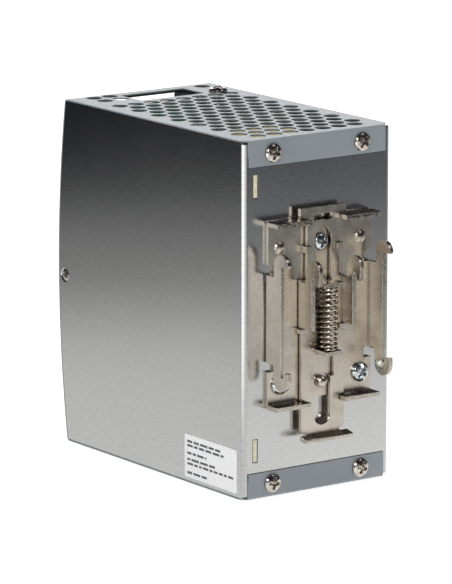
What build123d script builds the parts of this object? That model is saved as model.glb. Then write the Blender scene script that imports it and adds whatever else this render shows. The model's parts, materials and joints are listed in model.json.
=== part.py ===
from build123d import *
import math
import os

# Row frame: origin under the middle of the object's box, +Z up. The rail clip faces +Y, the terminals
# face -Y, and X runs across the narrow case. All lengths are in millimetres.

# Case
CASE_W = 63.0
CASE_H = 125.2
CASE_D = 113.5  # from the back sheet to the crown of the bowed front
CORNER_D = 108.7  # from the back sheet to the front's top and bottom corners
HOOK_REACH = 13.82  # from the back sheet to the latch fingers, the furthest out
BACK_Y = (CASE_D + HOOK_REACH) / 2 - HOOK_REACH
MID_Z = CASE_H / 2
SHELL_T = 1.0
COVER_T = 0.5
COVER_BEND = 1.1
COVER_W = 62.8
SHELL_GAP = 0.2  # slit between the shell and the cover's top and bottom plates
SHELL_BEND = 2.0

# Cover
FLANGE_H = 9.1
FLANGE_X = (-28.8, 29.6)
FLANGE_SCREWS_X = (-18.5, 19.5)
FLANGE_SCREW_INSET = 4.9
HOLE_R = 2.85
HOLE_MIDDLE_X = -0.3
HOLE_PITCH_X = 6.9
HOLE_PITCH_Y = 6.0
HOLE_COLUMNS = 14
FIRST_COLUMN_D = -84.9
CORNER_HOLES = [(22.1, -104.3), (22.1, -97.3), (15.3, -104.3), (15.3, -97.3), (-24.4, -103.2)]
WINDOW_X = (-16.5, 11.0)
WINDOW_D = (-103.6, -90.3)
PORT_Z = (102.4, CASE_H - 2.2)  # output wiring port in the front; the input port mirrors it
TOP_SCREW = (-22.6, -90.3)
TAB_H = 18.0
SIDE_SCREW_D = -109.4
SIDE_SCREW_Z = 61.0

# Slots for the main board's two tabs
BOARD_X = 26.4
BOARD_T = 1.6
TAB_SLOT = (2.2, 8.4)
TAB_Z = (109.3, 17.0)

# Rail bracket, with d counted out from the back sheet
PLATE_T = 1.5
FOLD_R = 1.2
PLATE_HALF_W = 22.2
PLATE_Z = (31.2, 96.6)
LIP_REACH = 6.8
LIP_INNER_X = 7.3
EAR_X = 22.55
EAR_ROOT_Z = (47.8, 78.4)
SEAT_D = 9.3  # the rail's lips rest on the ear edges here
NOTCH_X = 19.0
NOTCH_H = 3.4
DOME_X = 17.2
DOME_Z = 87.4
STUD_Z = 38.6
BRACKET_SCREWS = [(0.0, 87.6), (17.2, 39.5), (-17.2, 39.5)]

# Latch slider
SLIDER_D = (1.8, 3.3)
SLIDER_HALF_W = 9.5
SLIDER_LOW_W = 9.1  # half width below the ears
SLIDER_SEAT_D = 9.5
NECK_HALF_W = 6.9
SHOULDER_Z = 75.2
HEAD_HALF_W = 9.75
HEAD_Z = (96.75, 100.2)
SLIDER_FOOT_Z = 19.2
FOOT_NECK_W = 7.2
FOOT_HALF_W = 10.1
FOOT_D = (3.9, 7.4)
SLIDER_EAR_Z = (58.7, 74.8)
UPPER_TAB_Z = (72.8, 74.3)
LOWER_TAB_Z = (49.0, 50.4)
SPRING_D = 6.6
SPRING_R = 2.7
SPRING_WIRE_R = 0.5
SPRING_TURNS = 10.5
LUG_Z = ((56.7, 58.3), (84.7, 86.9))
LUG_OVERLAP = (2.4, 1.5)

# Inside
LAMP_R = 1.5
LAMP_X = 20.5
LAMP_Z = 107.0
ROTOR_R = 1.9
TRIMMER_X = 20.5
TRIMMER_Z = 115.5
CARD_D = (-94.8, -93.2)
CARD_TOP_Z = 123.4
BOARD_FACE_X = BOARD_X - BOARD_T / 2
FUSE_PLACE = (21.0, -84.0)
FUSE_CAP_L = 5.0
PRIMARY_SINK_Z = 68.0
SECONDARY_SINK_Z = 98.0
TERMINAL_D = (-108.8, CARD_D[0])
TERMINAL_Z = (103.2, 118.2)
CAGE_Z = (106.5, 113.5)
CAGE_D = (-104.0, -97.5)


def out(d):
    """Y of a point d out from the back sheet, negative inside the case."""
    return BACK_Y + d


def block(x0, x1, d0, d1, z0, z1):
    """Box between two corners, with its depth given as distances from the back sheet."""
    middle = Pos((x0 + x1) / 2, out((d0 + d1) / 2), (z0 + z1) / 2)
    return middle * Box(abs(x1 - x0), abs(d1 - d0), abs(z1 - z0))


def rod_x(radius, x0, x1, d, z):
    """Cylinder along X."""
    return Pos((x0 + x1) / 2, out(d), z) * Rot(0, 90, 0) * Cylinder(radius, abs(x1 - x0))


def rod_y(radius, x, d0, d1, z):
    """Cylinder along Y."""
    return Pos(x, out((d0 + d1) / 2), z) * Rot(90, 0, 0) * Cylinder(radius, abs(d1 - d0))


def rod_z(radius, x, d, z0, z1):
    """Cylinder along Z."""
    return Pos(x, out(d), (z0 + z1) / 2) * Cylinder(radius, abs(z1 - z0))


def plate_xz(points, d0, d1):
    """Flat sheet from an outline of (x, z) corners, d0 to d1 out from the back sheet."""
    face = make_face(Polyline(*[Vector(x, out(d0), z) for x, z in points], close=True))
    return extrude(face, amount=d1 - d0, dir=(0, 1, 0))


def mirrored_x(points):
    """Closes a half outline, given from its first point on X = 0 to its last, over X = 0."""
    return points + [(-x, z) for x, z in reversed(points) if abs(x) > 1e-9]


def upside_down(shape):
    """The same shape turned over about the case's mid-height."""
    return mirror(shape, about=Plane.XY.offset(MID_Z))


def save(name, *solids):
    """Writes one node, with every closed solid in it."""
    parts = [s for shape in solids for s in shape.solids()]
    shape = parts[0] if len(parts) == 1 else Compound(children=parts)
    export_step(shape, f"parts/{name}.step")


def pan_screw(head_r, head_h, shank_r, shank_l):
    """Pan-head cross-recess screw, its head on +Z from 0 and its shank below."""
    rim = head_h * 0.45
    crown_r = (head_r**2 + (head_h - rim) ** 2) / (2 * (head_h - rim))
    middle = head_r * 0.6
    shoulder = head_h - crown_r + math.sqrt(crown_r**2 - middle**2)
    outline = [
        Line((0, 0), (head_r, 0)),
        Line((head_r, 0), (head_r, rim)),
        ThreePointArc((head_r, rim), (middle, shoulder), (0, head_h)),
        Line((0, head_h), (0, 0)),
    ]
    head = revolve(Plane.XZ * make_face(outline), axis=Axis.Z)
    wing = head_r * 0.5
    slit = head_r * 0.12
    cross = Rectangle(2 * wing, 2 * slit) + Rectangle(2 * slit, 2 * wing)
    floor = head_h * 0.3
    recess = extrude(Pos(0, 0, floor) * cross, amount=head_h - floor + 0.1, taper=-12)
    shank = Pos(0, 0, -shank_l / 2) * Cylinder(shank_r, shank_l)
    return head - recess + shank


# ---------------------------------------------------------------- case


def bowed_outline(inset, back):
    """Side view of the case as a face of (y, z): the bowed front pushed in by inset, a flat back."""
    crown = out(-CASE_D + inset)
    corner = out(-CORNER_D + inset)
    outline = [
        ThreePointArc((corner, 0), (crown, MID_Z), (corner, CASE_H)),
        Line((corner, CASE_H), (back, CASE_H)),
        Line((back, CASE_H), (back, 0)),
        Line((back, 0), (corner, 0)),
    ]
    return make_face(outline)


def behind_front(inset):
    """Everything behind the bowed front pushed in by inset, as a block wider than the case."""
    return extrude(Plane.YZ * bowed_outline(inset, out(HOOK_REACH)), amount=CASE_W, both=True)


def chassis_shell():
    """Folded sheet with two sides and a back."""
    half = CASE_W / 2
    length = CASE_D + 10
    z0 = COVER_T + SHELL_GAP
    z1 = CASE_H - COVER_T - SHELL_GAP
    plan = Rectangle(CASE_W, length)
    plan = fillet(plan.vertices().sort_by(Axis.Y)[-2:], SHELL_BEND)
    hollow = Pos(0, -SHELL_T) * Rectangle(CASE_W - 2 * SHELL_T, length)
    hollow = fillet(hollow.vertices().sort_by(Axis.Y)[-2:], SHELL_BEND - SHELL_T)
    fold = extrude(plan - hollow, amount=z1 - z0)
    shell = Pos(0, BACK_Y - length / 2, z0) * fold
    shell &= behind_front(COVER_T + 0.3)
    for end in (z0, z1):
        shell -= block(-half, half, -SHELL_T - 0.3, 1, end - 0.5, end + 0.5)
    for x in FLANGE_SCREWS_X:
        for z in (FLANGE_SCREW_INSET, CASE_H - FLANGE_SCREW_INSET):
            shell -= rod_y(1.55, x, -3, 1, z)
    for x, z in BRACKET_SCREWS:
        shell -= rod_y(2.05, x, -3, 1, z)
    shell -= rod_y(1.5, 0, -3, 1, STUD_Z)
    for z in TAB_Z:
        slot_w, slot_h = TAB_SLOT
        shell -= block(BOARD_X - slot_w / 2, BOARD_X + slot_w / 2, -3, 1, z - slot_h / 2, z + slot_h / 2)
    for side in (-1, 1):
        shell -= Pos(side * half, out(SIDE_SCREW_D), SIDE_SCREW_Z) * Rot(0, side * 90, 0) * flat_head(0.1)
    return shell


def flat_head(extra):
    """Countersunk head from Z = 0 down through the sheet, grown all round by extra."""
    return Pos(0, 0, -SHELL_T / 2) * Cone(1.5 + extra, 2.5 + extra, SHELL_T)


def cover_section():
    """Side view of the cover's top, bowed front, bottom and the two flanges over the back."""
    back = out(COVER_T)
    outer = bowed_outline(0, back)
    outer = fillet(outer.vertices(), COVER_BEND)
    inner = offset(outer, -COVER_T)
    mouth = Pos(back, MID_Z) * Rectangle(2 * COVER_T + 3, CASE_H - 2 * FLANGE_H)
    return outer - inner - mouth


def hole_field():
    """Staggered ventilation holes, in eights and sevens, with the odd ones near the front corners."""
    spots = []
    for column in range(HOLE_COLUMNS):
        count = 8 - column % 2
        for row in range(count):
            x = (row - (count - 1) / 2) * HOLE_PITCH_X
            spots.append((x, FIRST_COLUMN_D + column * HOLE_PITCH_Y))
    return spots + CORNER_HOLES


def front_cover():
    """Painted sheet over the top, front and bottom, folded over the back at both ends."""
    cover = extrude(Plane.YZ * cover_section(), amount=COVER_W / 2, both=True)
    half = COVER_W / 2
    tip0, tip1 = FLANGE_X
    plan = [(-half, -CASE_D - 1), (half, -CASE_D - 1), (half, -3.0), (tip1, -0.4), (tip1, 2), (tip0, 2),
            (tip0, -0.4), (-half, -3.0)]
    trim = make_face(Polyline(*[Vector(x, out(d), 0) for x, d in plan], close=True))
    cover &= extrude(trim, amount=CASE_H, dir=(0, 0, 1))
    holes = [Pos(x + HOLE_MIDDLE_X, out(d), 0) * Circle(HOLE_R) for x, d in hole_field()]
    cover -= extrude(Sketch() + holes, amount=CASE_H)
    port = block(*WINDOW_X, -CASE_D - 1, -CORNER_D + 3.5, *PORT_Z)
    window = block(*WINDOW_X, *WINDOW_D, -1, CASE_H + 1)
    cover -= port
    cover -= upside_down(port)
    cover -= window
    for x in FLANGE_SCREWS_X:
        for z in (FLANGE_SCREW_INSET, CASE_H - FLANGE_SCREW_INSET):
            cover -= rod_y(1.6, x, -2, 2, z)
    x, d = TOP_SCREW
    cover -= rod_z(1.6, x, d, CASE_H - 2, CASE_H + 1)
    cover -= rod_y(LAMP_R + 0.15, LAMP_X, -CASE_D - 1, -CORNER_D + 4, LAMP_Z)
    cover -= rod_y(ROTOR_R + 0.5, TRIMMER_X, -CASE_D - 1, -CORNER_D + 4, TRIMMER_Z)
    tab_x1 = CASE_W / 2 - SHELL_T - 0.1
    tab_x0 = tab_x1 - COVER_T
    for side in (-1, 1):
        tab_z = (SIDE_SCREW_Z - TAB_H / 2, SIDE_SCREW_Z + TAB_H / 2)
        tab = block(side * tab_x0, side * tab_x1, -CASE_D + 0.5, SIDE_SCREW_D + 5, *tab_z)
        tab &= behind_front(0.4)
        cover += tab
    cover -= rod_x(1.6, -CASE_W, CASE_W, SIDE_SCREW_D, SIDE_SCREW_Z)
    return cover


def flange_screws():
    """Four screws that hold the cover's flanges to the back."""
    screw = pan_screw(3.3, 2.0, 1.5, 6.0)
    return [
        Pos(x, out(COVER_T), z) * Rot(-90, 0, 0) * screw
        for x in FLANGE_SCREWS_X
        for z in (FLANGE_SCREW_INSET, CASE_H - FLANGE_SCREW_INSET)
    ]


def side_screws():
    """One flat-headed screw through each side into the front cover's hidden tabs."""
    cross = Rectangle(2.6, 0.6) + Rectangle(0.6, 2.6)
    recess = extrude(Pos(0, 0, -0.8) * cross, amount=1.0)
    screw = flat_head(0) + Pos(0, 0, -2.5) * Cylinder(1.5, 3.0) - recess
    return [
        Pos(side * CASE_W / 2, out(SIDE_SCREW_D), SIDE_SCREW_Z) * Rot(0, side * 90, 0) * screw
        for side in (-1, 1)
    ]


def top_screw():
    """Screw through the top plate into the output board's bracket."""
    x, d = TOP_SCREW
    return Pos(x, out(d), CASE_H) * pan_screw(3.35, 2.1, 1.5, 5.0)


def rating_label():
    """Thin sticker low on one side."""
    return block(CASE_W / 2, CASE_W / 2 + 0.12, -34.6, -3.6, 1.9, 17.3)


# ---------------------------------------------------------------- rail bracket


def cap(radius, height):
    """Shallow round cap, its crown on +Z, with a little of its stem below Z = 0."""
    ball_r = (radius**2 + height**2) / (2 * height)
    middle = radius * 0.5
    shoulder = height - ball_r + math.sqrt(ball_r**2 - middle**2)
    outline = [
        Line((0, -0.3), (radius, -0.3)),
        Line((radius, -0.3), (radius, 0)),
        ThreePointArc((radius, 0), (middle, shoulder), (0, height)),
        Line((0, height), (0, -0.3)),
    ]
    return revolve(Plane.XZ * make_face(outline), axis=Axis.Z)


def dome(x, z, radius, height, d):
    """Shallow pressed dome that stands out from a sheet at d."""
    return Pos(x, out(d), z) * Rot(-90, 0, 0) * cap(radius, height)


def hook_ear():
    """Rail ear with a finger over the rail's top lip and a J hook under its bottom lip, at X = 0."""
    z0, z1 = EAR_ROOT_Z
    finger_z = 82.6
    finger_r = 4.1
    hook_z = 43.3
    hook_r = 4.2
    slot_z = 44.0
    tip_z = 45.9
    edges = [
        Line((0, z1), (SEAT_D - 3.7, z1)),
        Line((SEAT_D - 3.7, z1), (SEAT_D - 3.7, finger_z + 1.0)),
        ThreePointArc(
            (SEAT_D - 3.7, finger_z + 1.0), (SEAT_D + 0.3, finger_z + finger_r), (SEAT_D + 4.2, finger_z + 0.8)
        ),
        Line((SEAT_D + 4.2, finger_z + 0.8), (SEAT_D + 4.1, finger_z)),
        Line((SEAT_D + 4.1, finger_z), (SEAT_D, finger_z)),
        Line((SEAT_D, finger_z), (SEAT_D, slot_z)),
        Line((SEAT_D, slot_z), (SEAT_D + 1.2, slot_z)),
        Line((SEAT_D + 1.2, slot_z), (SEAT_D + 2.2, tip_z)),
        Line((SEAT_D + 2.2, tip_z), (SEAT_D + hook_r, tip_z)),
        Line((SEAT_D + hook_r, tip_z), (SEAT_D + hook_r, hook_z)),
        ThreePointArc((SEAT_D + hook_r, hook_z), (SEAT_D, hook_z - hook_r), (SEAT_D - hook_r, hook_z)),
        Line((SEAT_D - hook_r, hook_z), (SEAT_D - hook_r, z0)),
        Line((SEAT_D - hook_r, z0), (0, z0)),
        Line((0, z0), (0, z1)),
    ]
    return Pos(0, BACK_Y, 0) * extrude(Plane.YZ * make_face(edges), amount=PLATE_T)


def both_sides(shape):
    """The shape and its mirror image over X = 0."""
    return [shape, mirror(shape, about=Plane.YZ)]


def base_outline():
    """Half outline of the bracket's base plate, from the bottom of X = 0 to its top."""
    bottom, top = PLATE_Z
    ear0, ear1 = EAR_ROOT_Z
    return [
        (0, bottom + 2.0),
        (LIP_INNER_X, bottom + 2.0),
        (LIP_INNER_X, bottom),
        (PLATE_HALF_W, bottom),
        (PLATE_HALF_W, ear0 - NOTCH_H),
        (NOTCH_X, ear0 - NOTCH_H),
        (NOTCH_X, ear0),
        (EAR_X, ear0),
        (EAR_X, ear1),
        (NOTCH_X, ear1),
        (NOTCH_X, ear1 + NOTCH_H),
        (PLATE_HALF_W, ear1 + NOTCH_H),
        (PLATE_HALF_W, top),
        (LIP_INNER_X, top),
        (LIP_INNER_X, top - 2.0),
        (0, top - 2.0),
    ]


def guide_lugs():
    """Four small lugs that fold over the slider's edges and keep it on the base plate."""
    lugs = []
    for (z0, z1), edge, overlap in zip(LUG_Z, (SLIDER_LOW_W, NECK_HALF_W), LUG_OVERLAP):
        wall_x = edge + 0.15
        top_d = SLIDER_D[1] + 0.15
        wall = block(wall_x, wall_x + 1.0, PLATE_T, top_d + 0.9, z0, z1)
        fold = block(edge - overlap, wall_x + 1.0, top_d, top_d + 0.9, z0, z1)
        lugs += both_sides(wall + fold)
    return lugs


def din_base_plate():
    """Plated steel bracket with four lips, two rail ears, guide lugs and the upper spring tab."""
    bottom, top = PLATE_Z
    plate = plate_xz(mirrored_x(base_outline()), 0, PLATE_T)
    for z0, z1 in ((top - PLATE_T, top), (bottom, bottom + PLATE_T)):
        lip = block(LIP_INNER_X, PLATE_HALF_W, 0, LIP_REACH, z0, z1)
        lip -= block(0, SLIDER_HALF_W + 0.4, SLIDER_D[0] - 0.3, SLIDER_D[1] + 0.4, z0 - 1, z1 + 1)
        for part in both_sides(lip):
            plate += part
    ear = Pos(EAR_X - PLATE_T, 0, 0) * hook_ear()
    for part in both_sides(ear):
        plate += part
    plate = soften_folds(plate)
    for part in guide_lugs():
        plate += part
    for side in (-1, 1):
        plate += dome(side * DOME_X, DOME_Z, 2.3, 1.0, PLATE_T)
    z0, z1 = UPPER_TAB_Z
    tab = block(-3.1, 3.1, PLATE_T - 0.2, 9.0, z0, z1) + block(-4.3, 4.3, 4.2, 9.7, z0, z1)
    tab += rod_z(1.5, 0, SPRING_D, z0 - 1.6, z0)
    plate += tab
    for x, z in BRACKET_SCREWS:
        plate -= rod_y(2.05, x, -1, PLATE_T + 1, z)
    plate -= rod_y(1.5, 0, -1, PLATE_T + 1, STUD_Z)
    return plate


def soften_folds(plate):
    """Rounds the outside of the folds between the base plate, its lips and its ears."""
    bottom, top = PLATE_Z
    ear0, ear1 = EAR_ROOT_Z
    for edge_z, inner_z in ((bottom - 1, bottom + FOLD_R), (top + 1, top - FOLD_R)):
        corner = block(-EAR_X, EAR_X, -1, FOLD_R, edge_z, inner_z)
        plate -= corner - rod_x(FOLD_R, -CASE_W, CASE_W, FOLD_R, inner_z)
    for side in (-1, 1):
        inner_x = side * (EAR_X - FOLD_R)
        corner = block(inner_x, side * (EAR_X + 1), -1, FOLD_R, ear0 - 0.1, ear1 + 0.1)
        plate -= corner - rod_z(FOLD_R, inner_x, FOLD_R, 0, CASE_H)
    return plate


def guide_stud():
    """Round-headed rivet that runs in the slider's long slot."""
    shank = rod_y(1.45, 0, -1.8, PLATE_T, STUD_Z)
    collar = rod_y(2.0, 0, PLATE_T, SLIDER_D[1] + 0.2, STUD_Z)
    return shank + collar + dome(0, STUD_Z, 2.0, 0.9, SLIDER_D[1] + 0.2)


def bracket_screws():
    """Three screws that hold the bracket to the back."""
    small = pan_screw(3.0, 2.0, 1.95, 5.5)
    large = pan_screw(3.4, 2.3, 1.95, 5.5)
    kinds = [small, large, large]
    return [
        Pos(x, out(PLATE_T), z) * Rot(-90, 0, 0) * kind for (x, z), kind in zip(BRACKET_SCREWS, kinds)
    ]


def slider_ear():
    """Latch ear with a finger that hangs over the rail's top lip, at X = 0."""
    z0, z1 = SLIDER_EAR_Z
    base_d = SLIDER_D[0]
    seat_d = SLIDER_SEAT_D
    edges = [
        Line((base_d, z0), (seat_d, z0)),
        Line((seat_d, z0), (seat_d, 76.5)),
        ThreePointArc((seat_d, 76.5), (seat_d + 1.0, 77.3), (seat_d + 2.0, 76.3)),
        Line((seat_d + 2.0, 76.3), (seat_d + 2.4, 74.7)),
        Line((seat_d + 2.4, 74.7), (seat_d + 4.0, 74.7)),
        Line((seat_d + 4.0, 74.7), (seat_d + 4.3, 79.3)),
        ThreePointArc((seat_d + 4.3, 79.3), (seat_d + 1.8, 83.0), (seat_d - 2.3, 81.0)),
        Line((seat_d - 2.3, 81.0), (seat_d - 3.3, 79.0)),
        Line((seat_d - 3.3, 79.0), (seat_d - 3.3, z1)),
        Line((seat_d - 3.3, z1), (base_d, z1)),
        Line((base_d, z1), (base_d, z0)),
    ]
    return Pos(0, BACK_Y, 0) * extrude(Plane.YZ * make_face(edges), amount=PLATE_T)


def slider_outline():
    """Half outline of the slider, from the bottom of X = 0 to its top."""
    return [
        (0, SLIDER_FOOT_Z),
        (FOOT_NECK_W, SLIDER_FOOT_Z),
        (FOOT_NECK_W, SLIDER_FOOT_Z + 2.4),
        (SLIDER_LOW_W - 0.6, SLIDER_FOOT_Z + 2.4),
        (SLIDER_LOW_W, SLIDER_FOOT_Z + 3.0),
        (SLIDER_LOW_W, SLIDER_EAR_Z[0]),
        (SLIDER_HALF_W, SLIDER_EAR_Z[0]),
        (SLIDER_HALF_W, SHOULDER_Z),
        (NECK_HALF_W, SHOULDER_Z),
        (NECK_HALF_W, HEAD_Z[0]),
        (HEAD_HALF_W, HEAD_Z[0]),
        (HEAD_HALF_W, HEAD_Z[1]),
        (0, HEAD_Z[1]),
    ]


def slider_openings():
    """Screwdriver slot, screw slot and keyhole window through the slider."""
    d0 = SLIDER_D[0] - 1
    d1 = SLIDER_D[1] + 1
    driver = block(-4.0, 4.0, d0, d1, 95.4, 97.7)
    screw = block(-3.4, 3.4, d0, d1, 64.5, 89.6) + rod_y(3.4, 0, d0, d1, 89.6)
    wide = block(-4.9, 4.9, d0, d1, 40.2, 49.0)
    narrow = block(-3.3, 3.7, d0, d1, 26.9, 41.0) + rod_y(3.5, 0.2, d0, d1, 26.9)
    return [driver, screw, wide, narrow]


def slider_foot():
    """Foot that a screwdriver pushes up: folded out on a neck, then wider, and sloping down a little."""
    d0, d1 = SLIDER_D
    drop = 0.7
    end_d = FOOT_D[1]
    top = SLIDER_FOOT_Z + PLATE_T
    side = [
        Line((d0, top), (d1, top)),
        Line((d1, top), (end_d - 0.5, top - drop)),
        ThreePointArc((end_d - 0.5, top - drop), (end_d - 0.15, top - drop - 0.15), (end_d, top - drop - 0.5)),
        Line((end_d, top - drop - 0.5), (end_d - 0.1, top - drop - PLATE_T)),
        Line((end_d - 0.1, top - drop - PLATE_T), (d1, SLIDER_FOOT_Z)),
        ThreePointArc((d1, SLIDER_FOOT_Z), (d0 + 0.4, SLIDER_FOOT_Z + 0.4), (d0, top)),
    ]
    tread = Pos(0, BACK_Y, 0) * extrude(Plane.YZ * make_face(side), amount=FOOT_HALF_W, both=True)
    for side_x in (-1, 1):
        tread -= block(side_x * FOOT_NECK_W, side_x * (FOOT_HALF_W + 1), d0 - 1, FOOT_D[0], 10, top + 1)
    return tread


def latch_slider():
    """Spring-loaded latch plate with two hooked ears, a T head and a foot to push up."""
    d0, d1 = SLIDER_D
    outline = mirrored_x(slider_outline())
    slider = plate_xz(outline, d0, d1) - block(-10, 10, d0 - 1, d1 + 1, 10, SLIDER_FOOT_Z + PLATE_T)
    for part in slider_openings():
        slider -= part
    slider += slider_foot()
    ear = Pos(SLIDER_HALF_W - PLATE_T, 0, 0) * slider_ear()
    for part in both_sides(ear):
        slider += part
    z0, z1 = LOWER_TAB_Z
    slider += block(-3.4, 3.4, d0, 9.9, z0, z1)
    slider += rod_z(1.5, 0, SPRING_D, z1, z1 + 1.6)
    return slider


def latch_spring():
    """Round-wire compression spring between the two tabs."""
    bottom = LOWER_TAB_Z[1] + SPRING_WIRE_R + 0.02
    height = UPPER_TAB_Z[0] - SPRING_WIRE_R - 0.02 - bottom
    path = Helix(pitch=height / SPRING_TURNS, height=height, radius=SPRING_R)
    section = Plane(origin=path @ 0, z_dir=path % 0) * Circle(SPRING_WIRE_R)
    wire = sweep(section, path=path, is_frenet=True)
    return Pos(0, out(SPRING_D), bottom) * wire


# ---------------------------------------------------------------- inside


def main_board():
    """Circuit board along one side, with two tabs that locate it in the back's slots."""
    x0 = BOARD_X - BOARD_T / 2
    x1 = BOARD_X + BOARD_T / 2
    board = block(x0, x1, -89.8, -1.3, 3.5, CASE_H - 3.5)
    for z in TAB_Z:
        board += block(x0, x1, -1.3, -0.1, z - 3.9, z + 3.9)
    for d, z in standoff_places():
        board -= rod_x(1.3, x0 - 1, x1 + 1, d, z)
    return board


def standoff_places():
    """Where the main board is held, as (d, z) pairs."""
    return [(d, z) for d in (-82, -7) for z in (9, CASE_H - 9)]


def board_standoffs():
    """Posts between the main board and the case's side."""
    inner = CASE_W / 2 - SHELL_T
    posts = []
    for d, z in standoff_places():
        post = rod_x(2.6, BOARD_X + BOARD_T / 2, inner, d, z)
        posts.append(post + rod_x(1.2, BOARD_X - BOARD_T / 2 - 1.2, inner, d, z))
    return posts


def insulation_sheet():
    """Thin film between the main board and the case's side."""
    sheet = block(28.7, 29.0, -88, -3, 5, CASE_H - 5)
    for d, z in standoff_places():
        sheet -= rod_x(2.8, 28, 30, d, z)
    return sheet


def output_board():
    """Card behind the output terminals, which also carries the trimmer and the lamp."""
    return block(-29.0, 24.5, *CARD_D, 98.0, CARD_TOP_Z)


def input_board():
    """Card behind the input terminals."""
    return block(-20.0, 24.5, *CARD_D, 2.6, 28.0)


def output_bracket():
    """Steel angle that hangs the output card from the top plate."""
    x, d = TOP_SCREW
    under = CASE_H - COVER_T
    foot = block(-29.5, -15.0, CARD_D[1], -85.0, under - 1.2, under)
    leg = block(-29.5, -15.0, CARD_D[1], CARD_D[1] + 1.0, 104.0, under)
    return foot + leg - rod_z(1.55, x, d, under - 3, under + 1)


def pole_places(count, pitch):
    """X of each terminal pole, spread about the middle of the block."""
    middle = sum(WINDOW_X) / 2
    return [middle + (i - (count - 1) / 2) * pitch for i in range(count)]


def terminal_block(count, pitch):
    """Black block with a screw hole in front and a wire hole on top for each pole."""
    x0, x1 = WINDOW_X
    body = block(x0 + 0.3, x1 - 0.3, *TERMINAL_D, *TERMINAL_Z)
    half = pitch / 2 - 0.8
    cage0, cage1 = CAGE_D
    for x in pole_places(count, pitch):
        body -= block(x - half, x + half, cage0 - 0.1, cage1 + 0.1, CAGE_Z[0] - 0.1, TERMINAL_Z[1] + 1)
        body -= rod_y(2.15, x, TERMINAL_D[0] - 1, cage0 + 0.5, 110.0)
    return body


def terminal_clamps(count, pitch):
    """Plated wire cages, one for each pole."""
    cages = []
    half = pitch / 2 - 0.9
    for x in pole_places(count, pitch):
        cage = block(x - half, x + half, *CAGE_D, *CAGE_Z)
        inner = half - 0.9
        cage -= block(x - inner, x + inner, CAGE_D[0] + 1.4, CAGE_D[1] - 0.9, CAGE_Z[0] - 1, CAGE_Z[1] + 1)
        cage -= rod_y(1.35, x, CAGE_D[0] - 1, CAGE_D[0] + 2, 110.0)
        cages.append(cage)
    return cages


def terminal_screws(count, pitch):
    """Clamping screws, one for each pole, slotted across."""
    screws = []
    for x in pole_places(count, pitch):
        head = rod_y(2.0, x, CAGE_D[0] - 2.2, CAGE_D[0] - 0.05, 110.0)
        head -= block(x - 3, x + 3, CAGE_D[0] - 3, CAGE_D[0] - 1.2, 109.65, 110.35)
        screws.append(head + rod_y(1.3, x, CAGE_D[0] - 0.05, CAGE_D[0] + 3.5, 110.0))
    return screws


def trimmer_body():
    """Housing of the output voltage trimmer."""
    body = block(TRIMMER_X - 3.3, TRIMMER_X + 3.3, -99.8, CARD_D[0], TRIMMER_Z - 3.3, TRIMMER_Z + 3.3)
    return body - rod_y(ROTOR_R + 0.05, TRIMMER_X, -101, -96, TRIMMER_Z)


def trimmer_rotor():
    """Slotted shaft that sets the output voltage, reached through the front."""
    shaft = rod_y(ROTOR_R, TRIMMER_X, -109.6, -96.1, TRIMMER_Z)
    return shaft - block(TRIMMER_X - 0.35, TRIMMER_X + 0.35, -111, -108.6, TRIMMER_Z - 3, TRIMMER_Z + 3)


def status_lamp():
    """Lamp and the clear rod that brings its light to the front."""
    base = rod_y(2.2, LAMP_X, -98.3, CARD_D[0], LAMP_Z)
    rod = rod_y(LAMP_R, LAMP_X, -111.2, -98.3, LAMP_Z)
    return base + rod + Pos(LAMP_X, out(-111.2), LAMP_Z) * Rot(90, 0, 0) * cap(LAMP_R, 0.5)


def heatsink(z0):
    """Aluminium plate that stands on the board, with short fins on its upper face."""
    plate = block(-18, BOARD_FACE_X, -78, -54, z0, z0 + 2.5)
    for i in range(7):
        x = -18 + i * 6.5
        plate += block(x, x + 1.4, -78, -54, z0 + 2.5, z0 + 6)
    return plate


def transformer_core():
    """Ferrite E cores, one window on each side of the centre leg."""
    core = block(-12, 24, -42, -22, 84, 120)
    for x0, x1 in ((-6, 0), (12, 18)):
        core -= block(x0, x1, -50, -10, 91, 113)
    return core


def transformer_winding():
    """Wound coil on the centre leg."""
    coil = block(-5.6, 17.6, -47, -17, 91.3, 112.7)
    coil = fillet(coil.edges().filter_by(Axis.Z), 4)
    return coil - block(0, 12, -42, -22, 91, 113)


def transformer_tape():
    """Yellow tape wound round the core."""
    return block(-12.8, 24.8, -40, -24, 83.2, 120.8) - block(-12, 24, -41, -23, 84, 120)


def transformer_base():
    """Bobbin flange that carries the transformer's pins."""
    return block(24.8, BOARD_FACE_X, -48, -16, 82, 122)


def ring_x(outer_r, inner_r, x0, x1, d, z):
    """Ring whose axis runs along X."""
    return rod_x(outer_r, x0, x1, d, z) - rod_x(inner_r, x0 - 1, x1 + 1, d, z)


def choke_core(outer_r, d, z):
    """Powder ring core with its axis along X."""
    return ring_x(outer_r, outer_r * 0.55, 8, 20, d, z)


def choke_winding(outer_r, d, z):
    """Copper turns laid all round the ring core."""
    wrap = ring_x(outer_r + 2, outer_r * 0.55 - 2, 6, 22, d, z)
    wrap = fillet(wrap.edges(), 1.6)
    return wrap - choke_core(outer_r, d, z)


def capacitor(radius, length, d, z):
    """Can capacitor that stands on the board, with a rolled edge at its end."""
    can = rod_x(radius, BOARD_FACE_X - length, BOARD_FACE_X, d, z)
    return chamfer(can.edges().sort_by(Axis.X)[0], radius * 0.08)


def bulk_capacitors():
    """Two large input capacitors."""
    return [capacitor(12.5, 44, -22, 18), capacitor(12.5, 44, -22, 46)]


def output_capacitors():
    """Row of output smoothing capacitors."""
    return [capacitor(4.6, 24, -58 - 8 * i, 114.5) for i in range(3)]


def film_capacitor():
    """Boxed mains filter capacitor."""
    body = block(9, BOARD_FACE_X, -84, -75, 41, 59)
    return fillet(body.edges().filter_by(Axis.X), 0.8)


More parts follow.
